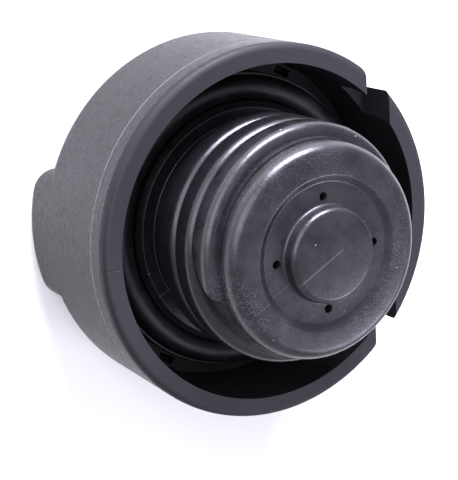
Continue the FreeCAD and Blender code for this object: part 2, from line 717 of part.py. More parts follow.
def make_pawl_disc():
    """Clutch disc: hub, four springy pawl arms in the ratchet, and a splined collar in the plug."""
    body = new_body("pawl_disc")
    inner, outer = size("hub_inner_radius"), size("hub_outer_radius")
    collar_inner = size("core_inner_radius") + size("axial_play")
    collar_outer = size("core_outer_radius") - size("axial_play")
    turned(body, "disc_turning", [
        (inner, pawl_bottom),
        (outer, pawl_bottom),
        (outer, disc_bottom),
        (collar_outer, disc_bottom),
        (collar_outer, spline_top),
        (collar_inner, spline_top),
        (collar_inner, disc_top),
        (inner, disc_top),
    ])
    arm_outer = size("pawl_arm_radius")
    arm_inner = arm_outer - size("pawl_arm_thickness")
    sweep = size("pawl_sweep")
    tooth_reach = size("ratchet_root_radius") - size("axial_play")
    pitch = 360.0 / TOOTH_COUNT
    root_angle = -sweep
    foot = size("pawl_foot")
    gap_angle = size("pawl_backlash")
    nose_angle = as_size(pitch * PAWL_TOOTH_SHARE)
    hub_inside = outer - size("strip_thickness")
    arm = outline(body, "pawl_outline", "XY_Plane", [
        (hub_inside * cosine(root_angle), hub_inside * sine(root_angle)),
        (arm_outer * cosine(root_angle), arm_outer * sine(root_angle), arm_outer, 1),
        (arm_outer * cosine(-nose_angle), -arm_outer * sine(nose_angle)),
        (tooth_reach * cosine(-gap_angle), -tooth_reach * sine(gap_angle)),
        (arm_inner * cosine(-gap_angle), -arm_inner * sine(gap_angle), arm_inner, -1),
        (arm_inner * cosine(root_angle + foot), arm_inner * sine(root_angle + foot)),
        (hub_inside * cosine(root_angle + foot), hub_inside * sine(root_angle + foot)),
    ], pawl_bottom)
    pawl = raised(body, "pawl", arm, pawl_top - pawl_bottom)
    repeated(body, "pawls", [pawl], PAWL_COUNT)
    half_web = size("spline_web") / 2 + size("press_gap")
    notch = outline(body, "spline_notch_outline", "XY_Plane", [
        (collar_inner - size("axial_play"), -half_web),
        (collar_outer + size("axial_play"), -half_web),
        (collar_outer + size("axial_play"), half_web),
        (collar_inner - size("axial_play"), half_web),
    ], spline_top)
    cut = sunk(body, "spline_notch", notch, spline_top - disc_top)
    repeated(body, "spline_notches", [cut], PAWL_COUNT)
    return body


def make_wave_spring():
    """Spring washer with three waves, between the shell's floor and the thrust washer."""
    strip = size("strip_thickness").value
    middle = floor_level.value + (size("wave_height").value - strip) / 2
    swing = middle - floor_level.value - size("press_gap").value
    steps = WAVE_COUNT * POINTS_PER_WAVE

    def wavy_edge(radius):
        points = []
        for step in range(steps):
            angle = 2 * math.pi * step / steps
            height = middle - swing * math.sin(WAVE_COUNT * angle)
            points.append(FreeCAD.Vector(radius * math.cos(angle), radius * math.sin(angle), height))
        curve = Part.BSplineCurve()
        curve.interpolate(Points=points, PeriodicFlag=True)
        return curve.toShape()

    face = Part.makeRuledSurface(wavy_edge(size("wave_inner_radius").value),
                                 wavy_edge(size("wave_outer_radius").value))
    feature = doc.addObject("Part::Feature", "wave_spring_strip")
    feature.Label = "wave_spring"
    feature.Shape = face.extrude(FreeCAD.Vector(0, 0, strip))
    return feature


def make_plug_form():
    """Turned form of the threaded plug, with vent holes and drive webs, before its thread."""
    body = new_body("plug_form")
    plug, face = size("plug_radius"), size("face_level")
    edge, boss, boss_edge = size("face_edge_round"), size("boss_radius"), size("boss_edge_round")
    foot = size("boss_foot_bevel")
    nose = size("nose_radius")
    collar, chamfer = size("collar_radius"), size("collar_chamfer")
    flange, ridge = size("flange_radius"), size("ridge_width")
    seal = size("seal_level")
    catch = size("skirt_radius") + size("catch_width")
    shoulder = size("skirt_radius") + size("shoulder_width")
    boss_bore = boss - size("boss_wall")
    turned(body, "plug_turning", [
        (0, boss_top),
        (0, boss_top - size("boss_wall")),
        (boss_bore, boss_top - size("boss_wall")),
        (boss_bore, nose_level),
        (size("nose_bore_radius"), nose_level),
        (size("nose_bore_radius"), size("seat_step_level")),
        (size("plug_bore_radius"), size("seat_step_level")),
        (size("plug_bore_radius"), flange_bottom),
        (size("core_inner_radius"), flange_bottom),
        (size("core_inner_radius"), flange_bottom + size("core_depth")),
        (size("core_outer_radius"), flange_bottom + size("core_depth")),
        (size("core_outer_radius"), flange_bottom),
        (skirt_inner, flange_bottom),
        (skirt_inner, catch_bottom),
        (catch, catch_bottom),
        (catch, catch_top),
        (size("skirt_radius"), catch_top),
        (size("skirt_radius"), shoulder_bottom),
        (shoulder, shoulder_bottom),
        (shoulder, flange_bottom),
        (flange, flange_bottom),
        (flange, seal + size("ridge_height")),
        (flange - ridge, seal + size("ridge_height")),
        (flange - ridge, seal),
        (collar, seal),
        (collar, size("collar_level") - chamfer),
        (collar - chamfer, size("collar_level")),
        (plug, size("collar_level")),
        (plug, nose_start),
        (nose, nose_start),
        (nose, face - edge, edge, 1),
        (nose - edge, face),
        (size("recess_radius"), face),
        (size("recess_radius") - size("recess_slope"), recess_level),
        (boss + foot, recess_level),
        (boss, recess_level + foot),
        (boss, boss_top - boss_edge, boss_edge, 1),
        (boss - boss_edge, boss_top),
    ])
    hole = circles(body, "vent_outline", recess_level, [(size("vent_distance"), 0, size("vent_radius"))])
    cut = sunk(body, "vent_hole", hole, size("nose_wall"))
    repeated(body, "vent_holes", [cut], VENT_COUNT)
    half_web = size("spline_web") / 2
    overlap = size("press_gap")
    web = outline(body, "drive_web_outline", "XY_Plane", [
        (size("core_inner_radius") - overlap, -half_web),
        (size("core_outer_radius") + overlap, -half_web),
        (size("core_outer_radius") + overlap, half_web),
        (size("core_inner_radius") - overlap, half_web),
    ], flange_bottom)
    pad = raised(body, "drive_web", web, size("core_depth"))
    repeated(body, "drive_webs", [pad], PAWL_COUNT)
    add_snap_groove(body)
    return body


def add_snap_groove(body):
    """Groove in the plug's bore for the valve housing's snap bead."""
    bore, level, height = size("plug_bore_radius"), size("snap_level"), size("snap_height")
    before = body.Shape.Volume
    turned(body, "snap_groove", [
        (bore - height, level - height * 3),
        (bore, level - height * 3),
        (bore + height, level - height),
        (bore + height, level + height),
        (bore, level + height * 3),
        (bore - height, level + height * 3),
    ], kind="PartDesign::Groove")
    if body.Shape.Volume > before - 0.01:
        raise RuntimeError("snap_groove removes nothing")


def make_thread():
    """Right-hand thread with a square rear edge and a rounded front edge, cut away at its end."""
    pitch = size("thread_pitch")
    root = size("plug_radius")
    foot = root - size("axial_play")
    crest = size("crest_radius")
    turn = size("flank_round")
    # the section lies evenly about its path, whose start is then the path's nearest point to it
    half_width = (size("crest_width") + turn) / 2
    crest_front = half_width - turn
    start_level = size("collar_level") + size("thread_offset")
    turns = (nose_start - start_level - half_width * 2) / pitch

    helix = doc.addObject("Part::Helix", "thread_path")
    bind(helix, "Pitch", pitch)
    bind(helix, "Height", pitch * turns)
    bind(helix, "Radius", root)
    helix.SegmentLength = 1
    section = doc.addObject("Sketcher::SketchObject", "thread_section")
    section.Placement = FreeCAD.Placement(FreeCAD.Vector(0, 0, 0), FreeCAD.Rotation(FreeCAD.Vector(1, 0, 0), 90))
    add_loop(section, [
        (foot, -half_width),
        (crest, -half_width),
        (crest, crest_front),
        (crest - turn + turn * cosine(ROUND_MIDDLE), crest_front + turn * sine(ROUND_MIDDLE)),
        (crest - turn, half_width),
        (foot, half_width),
    ])
    doc.recompute()
    sweep = doc.addObject("Part::Sweep", "thread_sweep")
    sweep.Sections = [section]
    sweep.Spine = (helix, [])
    sweep.Solid = True
    sweep.Frenet = True
    doc.recompute()

    cutter = make_run_out_cutter(pitch, turns, half_width)
    trimmed = doc.addObject("Part::Cut", "thread_trimmed")
    trimmed.Base = sweep
    trimmed.Tool = cutter
    doc.recompute()
    bind(trimmed, "Placement.Base.z", start_level + half_width)
    start_angle = size("thread_start_angle").value
    trimmed.Placement.Rotation = FreeCAD.Rotation(FreeCAD.Vector(0, 0, 1), start_angle)
    doc.recompute()
    return trimmed


def make_run_out_cutter(pitch, turns, half_width):
    """Wedge that cuts the thread's end, so that its rear edge runs forwards to a point."""
    crest, sweep = size("crest_radius"), size("run_out_angle")
    half_reach = crest * sine(sweep / 2)
    middle_angle = turns * 360 - sweep / 2
    slope = pitch * sweep / 720
    bottom = -half_width - size("running_fit")
    past_end = half_reach + size("run_out_margin")
    sketch = doc.addObject("Sketcher::SketchObject", "run_out_outline")
    upright = FreeCAD.Rotation(FreeCAD.Vector(0, 1, 0), FreeCAD.Vector(0, 0, 1), FreeCAD.Vector(1, 0, 0))
    turned_to_end = FreeCAD.Rotation(FreeCAD.Vector(0, 0, 1), middle_angle.value)
    level = pitch * middle_angle / 360
    sketch.Placement = FreeCAD.Placement(FreeCAD.Vector(0, 0, level.value), turned_to_end.multiply(upright))
    bind(sketch, "Placement.Base.z", level)
    add_loop(sketch, [
        (-half_reach, bottom - slope),
        (past_end, bottom + slope),
        (past_end, half_width + size("run_out_margin")),
        (half_reach, half_width + slope),
    ])
    cutter = doc.addObject("Part::Extrusion", "run_out_cutter")
    cutter.Base = sketch
    cutter.DirMode = "Normal"
    bind(cutter, "LengthFwd", crest + size("run_out_margin"))
    cutter.Solid = True
    doc.recompute()
    return cutter


def make_threaded_plug():
    """The plug with its thread, one moulding."""
    form = make_plug_form()
    thread = make_thread()
    plug = doc.addObject("Part::Fuse", "plug_with_thread")
    plug.Base = form
    plug.Tool = thread
    plug.Label = "threaded_plug"
    form.Label = "plug_form"
    return plug


def make_round_seal(name, centre_radius, section_radius, level):
    """O-ring lying flat."""
    seal = doc.addObject("Part::Torus", name + "_ring")
    seal.Label = name
    bind(seal, "Radius1", centre_radius)
    bind(seal, "Radius2", section_radius)
    bind(seal, "Placement.Base.z", level)
    return seal


def make_valve_housing():
    """Cup with the valve port, pushed into the plug from the rear."""
    body = new_body("valve_housing")
    rear, step = size("housing_rear_level"), size("seat_step_level")
    rear_bore = housing_inner + size("cover_step")
    port, lip = size("port_radius"), size("port_lip_width")
    level, height = size("snap_level"), size("snap_height")
    turned(body, "housing_turning", [
        (rear_bore, rear),
        (housing_outer, rear),
        (housing_outer, level - height * 2),
        (housing_outer + height, level - height / 2),
        (housing_outer + height, level + height / 2),
        (housing_outer, level + height * 2),
        (housing_outer, step),
        (spigot_radius, step),
        (spigot_radius, step + size("spigot_height")),
        (spigot_radius - size("spigot_wall"), step + size("spigot_height")),
        (spigot_radius - size("spigot_wall"), step),
        (port, step),
        (port, lip_level),
        (port + lip, lip_level),
        (port + lip, port_wall_level),
        (housing_inner, port_wall_level),
        (housing_inner, cover_top),
        (rear_bore, cover_top),
    ])
    return body


def make_spring_cover():
    """Vented plate that closes the housing and carries the pressure spring."""
    body = new_body("spring_cover")
    rear = size("housing_rear_level")
    outer = housing_inner + size("cover_step") - size("press_gap")
    guide, wall = size("guide_radius"), size("guide_wall")
    locator = size("pressure_coil_radius") - size("pressure_wire_radius") - size("axial_play")
    turned(body, "cover_turning", [
        (guide, rear),
        (outer, rear),
        (outer, cover_top),
        (locator, cover_top),
        (locator, cover_top + wall),
        (locator - wall, cover_top + wall),
        (locator - wall, cover_top),
        (guide + wall, cover_top),
        (guide + wall, cover_top + size("guide_height")),
        (guide, cover_top + size("guide_height")),
    ])
    hole = circles(body, "cover_vent_outline", cover_top,
                   [(size("cover_vent_distance"), 0, size("cover_vent_radius"))])
    cut = sunk(body, "cover_vent", hole, size("cover_thickness"))
    repeated(body, "cover_vents", [cut], VALVE_VENT_COUNT)
    return body


def make_pressure_plate():
    """Valve plate with a spring rim, a hub for the vacuum valve's stem and vent holes round it."""
    body = new_body("pressure_plate")
    rim, hub = size("plate_radius"), size("plate_hub_radius")
    stem_bore = size("stem_radius") + size("running_fit")
    turned(body, "plate_turning", [
        (stem_bore, hub_bottom),
        (hub, hub_bottom),
        (hub, plate_bottom),
        (rim - size("plate_rim_width"), plate_bottom),
        (rim - size("plate_rim_width"), plate_bottom - size("plate_rim_height")),
        (rim, plate_bottom - size("plate_rim_height")),
        (rim, plate_top),
        (stem_bore, plate_top),
    ])
    hole = circles(body, "plate_vent_outline", plate_top,
                   [(size("plate_vent_distance"), 0, size("plate_vent_radius"))])
    cut = sunk(body, "plate_vent", hole, size("plate_thickness"))
    repeated(body, "plate_vents", [cut], VALVE_VENT_COUNT)
    return body


def make_vacuum_poppet():
    """Small valve that opens towards the tank: head, stem and a groove for the keeper."""
    body = new_body("vacuum_poppet")
    stem, head = size("stem_radius"), size("head_radius")
    groove = stem - size("stem_groove_depth")
    tip = keeper_bottom - size("stem_tip_length")
    turned(body, "poppet_turning", [
        (0, tip),
        (stem, tip),
        (stem, keeper_bottom),
        (groove, keeper_bottom),
        (groove, keeper_top),
        (stem, keeper_top),
        (stem, head_bottom),
        (head, head_bottom),
        (head, head_bottom + size("head_thickness")),
        (0, head_bottom + size("head_thickness")),
    ])
    return body


def make_coil_spring(name, coil_radius, wire_radius, bottom, top, coils):
    """Wire wound between two levels."""
    length = top - bottom - wire_radius * 2
    path = doc.addObject("Part::Helix", name + "_path")
    bind(path, "Pitch", length / coils)
    bind(path, "Height", length)
    bind(path, "Radius", coil_radius)
    path.SegmentLength = 1
    wire = doc.addObject("Sketcher::SketchObject", name + "_wire")
    wire.Placement = FreeCAD.Placement(FreeCAD.Vector(0, 0, 0), FreeCAD.Rotation(FreeCAD.Vector(1, 0, 0), 90))
    angles = [90 + step * 360.0 / WIRE_SIDES for step in range(WIRE_SIDES)]
    add_loop(wire, [
        (coil_radius + wire_radius * cosine(angle), wire_radius * sine(angle)) for angle in angles
    ])
    doc.recompute()
    spring = doc.addObject("Part::Sweep", name + "_coil")
    spring.Label = name
    spring.Sections = [wire]
    spring.Spine = (path, [])
    spring.Solid = True
    spring.Frenet = True
    bind(spring, "Placement.Base.z", bottom + wire_radius)
    return spring


def make_all():
    seal_centre = size("collar_radius") + size("seal_section_radius")
    stem_bore = size("stem_radius") + size("press_gap")
    pressure_seal_inner = size("port_radius") + size("port_lip_width") / 2 - size("pressure_seal_width") / 2
    return [
        make_outer_shell(),
        make_retaining_ring(),
        make_ratchet_ring(),
        make_pawl_disc(),
        make_wave_spring(),
        simple_ring("thrust_washer", size("hub_inner_radius"), size("wave_outer_radius"),
                    wave_top, washer_top),
        make_threaded_plug(),
        make_round_seal("neck_seal", seal_centre, size("seal_section_radius"),
                        size("seal_level") + size("seal_section_radius")),
        make_valve_housing(),
        simple_ring("housing_seal", housing_seal_inner, housing_seal_outer,
                    size("seat_step_level"), size("seat_step_level") + size("housing_seal_height")),
        make_spring_cover(),
        make_coil_spring("pressure_spring", size("pressure_coil_radius"), size("pressure_wire_radius"),
                         cover_top, plate_bottom, size("pressure_coils")),
        make_pressure_plate(),
        simple_ring("pressure_seal", pressure_seal_inner, pressure_seal_inner + size("pressure_seal_width"),
                    plate_top, lip_level),
        make_vacuum_poppet(),
        simple_ring("vacuum_seal", stem_bore, size("head_radius"), plate_top, head_bottom),
        make_coil_spring("vacuum_spring", size("vacuum_coil_radius"), size("vacuum_wire_radius"),
                         keeper_top, hub_bottom, size("vacuum_coils")),
        simple_ring("spring_keeper", size("stem_radius") - size("stem_groove_depth"), size("keeper_radius"),
                    keeper_bottom, keeper_top),
    ]


def check_and_write(pieces):
    """Stops at any failed feature, then writes each piece to its own file."""
    doc.recompute()
    for item in doc.Objects:
        if "Invalid" in item.State or "Error" in item.State:
            raise RuntimeError("%s failed: %s" % (item.Name, item.State))
    for piece in pieces:
        if piece.Shape.isNull() or not piece.Shape.isValid():
            raise RuntimeError("%s has no valid shape" % piece.Label)
    os.makedirs("parts", exist_ok=True)
    for piece in pieces:
        piece.Shape.exportStep("parts/%s.step" % piece.Label)
        print("%-16s solids %d volume %.1f" % (piece.Label, len(piece.Shape.Solids), piece.Shape.Volume))


check_and_write(make_all())
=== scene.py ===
import json
import math

import bmesh
import bpy
from mathutils import Matrix, Vector


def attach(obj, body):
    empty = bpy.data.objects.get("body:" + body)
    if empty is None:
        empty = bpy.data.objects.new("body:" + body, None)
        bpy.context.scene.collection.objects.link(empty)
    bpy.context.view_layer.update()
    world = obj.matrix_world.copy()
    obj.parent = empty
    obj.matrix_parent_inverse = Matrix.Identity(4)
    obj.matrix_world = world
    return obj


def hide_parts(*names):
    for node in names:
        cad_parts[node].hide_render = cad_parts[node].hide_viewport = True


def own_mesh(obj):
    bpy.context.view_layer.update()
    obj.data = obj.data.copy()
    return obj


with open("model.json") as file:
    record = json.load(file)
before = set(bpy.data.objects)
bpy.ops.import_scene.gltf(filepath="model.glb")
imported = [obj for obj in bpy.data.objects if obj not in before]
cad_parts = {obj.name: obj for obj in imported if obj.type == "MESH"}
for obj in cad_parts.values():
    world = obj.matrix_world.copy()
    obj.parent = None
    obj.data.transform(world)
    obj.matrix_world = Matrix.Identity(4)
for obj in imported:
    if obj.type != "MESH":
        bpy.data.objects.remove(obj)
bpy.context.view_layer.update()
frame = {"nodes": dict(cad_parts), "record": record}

# Fuel filler cap standing on its grip, plug upwards. Sizes are in millimetres, scaled by MM, and
# angles are in degrees. Scales and strengths of the finishes are in Blender's own units.
MM = 0.001
nodes = frame["nodes"]

# Plug
PLUG_RADIUS = 23.2
NOSE_RADIUS = 22.8
NOSE_START = 54.3
FACE_LEVEL = 58.7
RECESS_LEVEL = 57.9
BOSS_TOP = 61.2
INSIDE_LEVEL = 55.3
VENT_RADIUS = 0.92
VENT_DISTANCE = 11.9
VENT_COUNT = 4
VENT_STEPS = 24

# Half section of the plug, as (radius, level) or (radius, level, rounding)
PLUG_SECTION = [
    # hollow of the boss and inside of the barrel
    (0.0, BOSS_TOP), (0.0, 58.9), (7.75, 58.9), (7.75, INSIDE_LEVEL), (18.9, INSIDE_LEVEL),
    (18.9, 51.0), (20.2, 51.0), (20.2, 19.3),
    # underside of the flange and its skirt
    (22.4, 19.3), (22.4, 25.0), (25.4, 25.0), (25.4, 19.3), (28.6, 19.3), (28.6, 12.9),
    (32.2, 12.9), (32.2, 14.7), (30.9, 14.7), (30.9, 17.3), (32.0, 17.3), (32.0, 19.3),
    # flange's edge, seat of the seal and collar
    (33.3, 19.3, 0.3), (33.3, 24.0, 0.25), (32.6, 24.0, 0.2), (32.6, 21.6), (27.2, 21.6),
    (27.2, 26.1, 0.3), (26.0, 27.3, 0.3),
    # root of the thread and nose
    (PLUG_RADIUS, 27.3, 0.4), (PLUG_RADIUS, NOSE_START),
    (NOSE_RADIUS, NOSE_START), (NOSE_RADIUS, FACE_LEVEL, 2.9),
    # end face, recess and boss
    (16.3, FACE_LEVEL, 0.9), (14.9, RECESS_LEVEL, 0.9),
    (10.05, RECESS_LEVEL, 0.6), (10.05, BOSS_TOP, 1.4),
]

# Thread
CREST_RADIUS = 26.0
THREAD_PITCH = 6.8
THREAD_START_LEVEL = 32.0
THREAD_START_ANGLE = 30.0
THREAD_TURNS = 2.456
THREAD_CREST = 3.6
THREAD_FRONT_ROUND = 2.0
THREAD_REAR_ROUND = 0.22
THREAD_ROOT_DEPTH = 0.4
THREAD_STEPS = 640
RUN_OUT_ANGLE = 21.0
RUN_OUT_REST = 0.02

# Seal
SEAL_RADIUS = 29.9
SEAL_SECTION = 2.7
SEAL_CENTRE_LEVEL = 24.3
SEAL_STEPS = 48

# Springs: node, body, joint, level of the fixed end and travel of the other end
SPRINGS = (
    ("pressure_spring", "closure", "pressure_slide", 32.0, 2.0),
    ("vacuum_spring", "pressure_valve", "vacuum_slide", 44.0, 1.5),
)

# Turned pieces
TURN_STEPS = 240
SHARP_ANGLE = 35
AXIS_RADIUS = 0.01

# Lines that a mould leaves, the parting lines as angles about the axis
RING_LINE_LEVEL = 33.2
RING_LINE_WIDTH = 0.28
SHELL_PARTING_ANGLE = 180.0
SHELL_PARTING_START = 30.0
PLUG_PARTING_ANGLE = 207.5
PLUG_PARTING_START = -2.5
PARTING_WIDTH = 0.2
PARTING_FADE = 0.4

# Leather grain of the shell
GRAIN_END_LEVEL = 37.5
GRAIN_END_FADE = 0.2
GRAIN_BACK_LEVEL = 8.6
GRAIN_CELLS = 2100
GRAIN_NOISE = 3000
GRAIN_DEPTH = 0.0011
FINE_NOISE = 4200

# Colours
BLACK = (0.005, 0.005, 0.0055)
SHELL_GREY = (0.13, 0.13, 0.14)
SPECK_GREY = (0.26, 0.26, 0.28)
SEAL_DARK = (0.003, 0.003, 0.0034)
SEAL_LIGHT = (0.006, 0.006, 0.0064)
FLOOR_WHITE = (0.94, 0.955, 0.86)
COOL_WHITE = (0.95, 0.935, 1.14)

# Plain finishes of the record's slots: darker and lighter colour, roughness, metallic and grain
PLAIN_FINISHES = {
    "ring_plastic": ((0.012, 0.012, 0.013), (0.017, 0.017, 0.018), 0.36, 0.0, 1400),
    "clutch_plastic": ((0.74, 0.73, 0.68), (0.8, 0.79, 0.75), 0.38, 0.0, 1400),
    "valve_plastic": ((0.09, 0.09, 0.095), (0.11, 0.11, 0.115), 0.45, 0.0, 1400),
    "spring_steel": ((0.56, 0.56, 0.56), (0.64, 0.64, 0.64), 0.3, 1.0, 2600),
    "valve_rubber": ((0.025, 0.025, 0.025), (0.034, 0.034, 0.034), 0.6, 0.0, 1400),
}

# Camera, in millimetres
CAMERA_PLACE = Vector((-152.4, 82.4, 286.4)) * MM
CAMERA_RIGHT = Vector((0.8582, -0.0641, 0.5093))
CAMERA_VIEW = Vector((0.4755, -0.2746, -0.8358))
FOCAL_LENGTH = 105.6
SENSOR_WIDTH = 36

# Stage and lights, in metres: name, place, target, size and power
FLOOR_SIZE = 4
TENT_STRENGTH = 0.72
LIGHTS = (
    ("key", (0.1, 0.9, 0.3), (0, 0, 0.03), (0.6, 0.3), 36),
    ("side", (-0.6, 0.35, 0.48), (0, 0, 0.05), (0.62, 0.62), 5.5),
    ("face", (0.48, -0.46, 0.48), (0, 0, 0.05), (0.3, 0.3), 2.0),
)


def polar(radius, angle, level):
    """Point at a radius, an angle in degrees and a level, in metres."""
    turn = math.radians(angle)
    return Vector((radius * math.cos(turn), radius * math.sin(turn), level)) * MM


def rounded(corners, steps=6):
    """Closed half section whose corners are (radius, level) or (radius, level, rounding)."""
    points = []
    for index, corner in enumerate(corners):
        here = Vector(corner[:2])
        if len(corner) == 2:
            points.append(here)
            continue
        before = (Vector(corners[index - 1][:2]) - here).normalized()
        after = (Vector(corners[(index + 1) % len(corners)][:2]) - here).normalized()
        half = before.angle(after) / 2
        reach = corner[2] / math.tan(half)
        centre = here + (before + after).normalized() * (corner[2] / math.sin(half))
        start = here + before * reach - centre
        end = here + after * reach - centre
        sweep = start.angle_signed(end)
        for step in range(steps + 1):
            turn = -sweep * step / steps
            points.append(centre + Vector((
                start.x * math.cos(turn) - start.y * math.sin(turn),
                start.x * math.sin(turn) + start.y * math.cos(turn))))
    return [(point.x, point.y) for point in points]


def place_in_scene(name, data):
    """A new object with its data, in the scene."""
    thing = bpy.data.objects.new(name, data)
    bpy.context.scene.collection.objects.link(thing)
    return thing


def piece_from(name, builder, body, material):
    """A mesh piece that rides on a body and has one material."""
    bmesh.ops.recalc_face_normals(builder, faces=builder.faces)
    mesh = bpy.data.meshes.new(name)
    builder.to_mesh(mesh)
    builder.free()
    mesh.materials.append(material)
    piece = place_in_scene(name, mesh)
    mesh.shade_smooth()
    mesh.set_sharp_from_angle(angle=math.radians(SHARP_ANGLE))
    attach(piece, body)
    return piece


def join_rings(builder, first, second):
    """Faces between two closed rings of as many vertices."""
    count = len(first)
    for step in range(count):
        after = (step + 1) % count
        builder.faces.new((first[step], first[after], second[after], second[step]))


def turned(builder, profile, skip=()):
    """Turns a closed profile about the axis. Stretches named in skip get no faces."""
    rings = [[builder.verts.new(polar(radius, 360 * step / TURN_STEPS, level))
              for step in range(TURN_STEPS)] for radius, level in profile]
    for index, ring in enumerate(rings):
        if index not in skip:
            join_rings(builder, ring, rings[(index + 1) % len(rings)])
    return rings


def make_camera():
    """Camera at the photo's viewing angle."""
    back = -CAMERA_VIEW.normalized()
    up = back.cross(CAMERA_RIGHT).normalized()
    right = up.cross(back)
    data = bpy.data.cameras.new("camera")
    data.lens = FOCAL_LENGTH
    data.sensor_width = SENSOR_WIDTH
    data.clip_start = 0.01
    data.clip_end = 50
    camera = place_in_scene("camera", data)
    turn = Matrix((right, up, back)).transposed().to_4x4()
    camera.matrix_world = Matrix.Translation(CAMERA_PLACE) @ turn
    bpy.context.scene.camera = camera


def new_material(name, colour, roughness):
    """Material with a principled shader and its place in the part's frame."""
    material = bpy.data.materials.new(name)
    material.use_nodes = True
    tree = material.node_tree
    shader = tree.nodes["Principled BSDF"]
    shader.inputs["Base Color"].default_value = (*colour, 1)
    shader.inputs["Roughness"].default_value = roughness
    place = tree.nodes.new("ShaderNodeTexCoord").outputs["Object"]
    return material, tree, shader, place


def noise(tree, place, scale, detail=3.0, roughness=0.5):
    """Cloudy noise about one half."""
    node = tree.nodes.new("ShaderNodeTexNoise")
    node.inputs["Scale"].default_value = scale
    node.inputs["Detail"].default_value = detail
    node.inputs["Roughness"].default_value = roughness
    tree.links.new(place, node.inputs["Vector"])
    return node.outputs["Fac"]


def cells(tree, place, scale, feature="F1"):
    """Distance from the nearest cell's centre."""
    node = tree.nodes.new("ShaderNodeTexVoronoi")
    node.feature = feature
    node.inputs["Scale"].default_value = scale
    tree.links.new(place, node.inputs["Vector"])
    return node.outputs["Distance"]


def spread(tree, value, low, high, to_low, to_high):
    """Maps a value's range to another one, smoothly clamped."""
    node = tree.nodes.new("ShaderNodeMapRange")
    node.interpolation_type = "SMOOTHSTEP"
    limits = {"From Min": low, "From Max": high, "To Min": to_low, "To Max": to_high}
    for name, number in limits.items():
        node.inputs[name].default_value = number
    tree.links.new(value, node.inputs["Value"])
    return node.outputs["Result"]


def mottled(tree, place, scale, detail, low, high):
    """Noise between two numbers."""
    return spread(tree, noise(tree, place, scale, detail), 0.3, 0.7, low, high)


def maths(tree, operation, first, second=0):
    """Result of an operation on two sockets or numbers."""
    node = tree.nodes.new("ShaderNodeMath")
    node.operation = operation
    for socket, value in zip(node.inputs, (first, second)):
        if isinstance(value, (int, float)):
            socket.default_value = value
        else:
            tree.links.new(value, socket)
    return node.outputs["Value"]


def times(tree, first, second):
    return maths(tree, "MULTIPLY", first, second)


def plus(tree, first, second):
    return maths(tree, "ADD", first, second)


def minus(tree, first, second):
    return maths(tree, "SUBTRACT", first, second)


def mixed(tree, share, first, second):
    """Colour between two colours, by a share."""
    node = tree.nodes.new("ShaderNodeMix")
    node.data_type = "RGBA"
    sockets = {socket.identifier: socket for socket in node.inputs}
    sockets["A_Color"].default_value = (*first, 1)
    sockets["B_Color"].default_value = (*second, 1)
    tree.links.new(share, sockets["Factor_Float"])
    return [socket for socket in node.outputs if socket.identifier == "Result_Color"][0]


def bumped(tree, shader, height, strength, distance):
    """Makes the shader's surface follow a height."""
    node = tree.nodes.new("ShaderNodeBump")
    node.inputs["Strength"].default_value = strength
    node.inputs["Distance"].default_value = distance
    tree.links.new(height, node.inputs["Height"])
    tree.links.new(node.outputs["Normal"], shader.inputs["Normal"])


def split_vector(tree, vector):
    node = tree.nodes.new("ShaderNodeSeparateXYZ")
    tree.links.new(vector, node.inputs["Vector"])
    return node.outputs["X"], node.outputs["Y"], node.outputs["Z"]


def axis_distance(tree, x, y):
    return maths(tree, "SQRT", plus(tree, times(tree, x, x), times(tree, y, y)))


def hairline(tree, distance, width):
    """One on a line and zero beside it, from the distance to the line."""
    return spread(tree, maths(tree, "ABSOLUTE", distance), width * MM * 0.4, width * MM * 0.8, 1, 0)


def parting_line(tree, x, y, angle, start):
    """Mould line in the half plane at an angle about the axis, from a start along it."""
    turn = math.radians(angle)
    across = minus(tree, times(tree, x, math.sin(turn)), times(tree, y, math.cos(turn)))
    along = plus(tree, times(tree, x, math.cos(turn)), times(tree, y, math.sin(turn)))
    return times(tree, hairline(tree, across, PARTING_WIDTH),
                 spread(tree, along, start * MM, (start + PARTING_FADE) * MM, 0, 1))


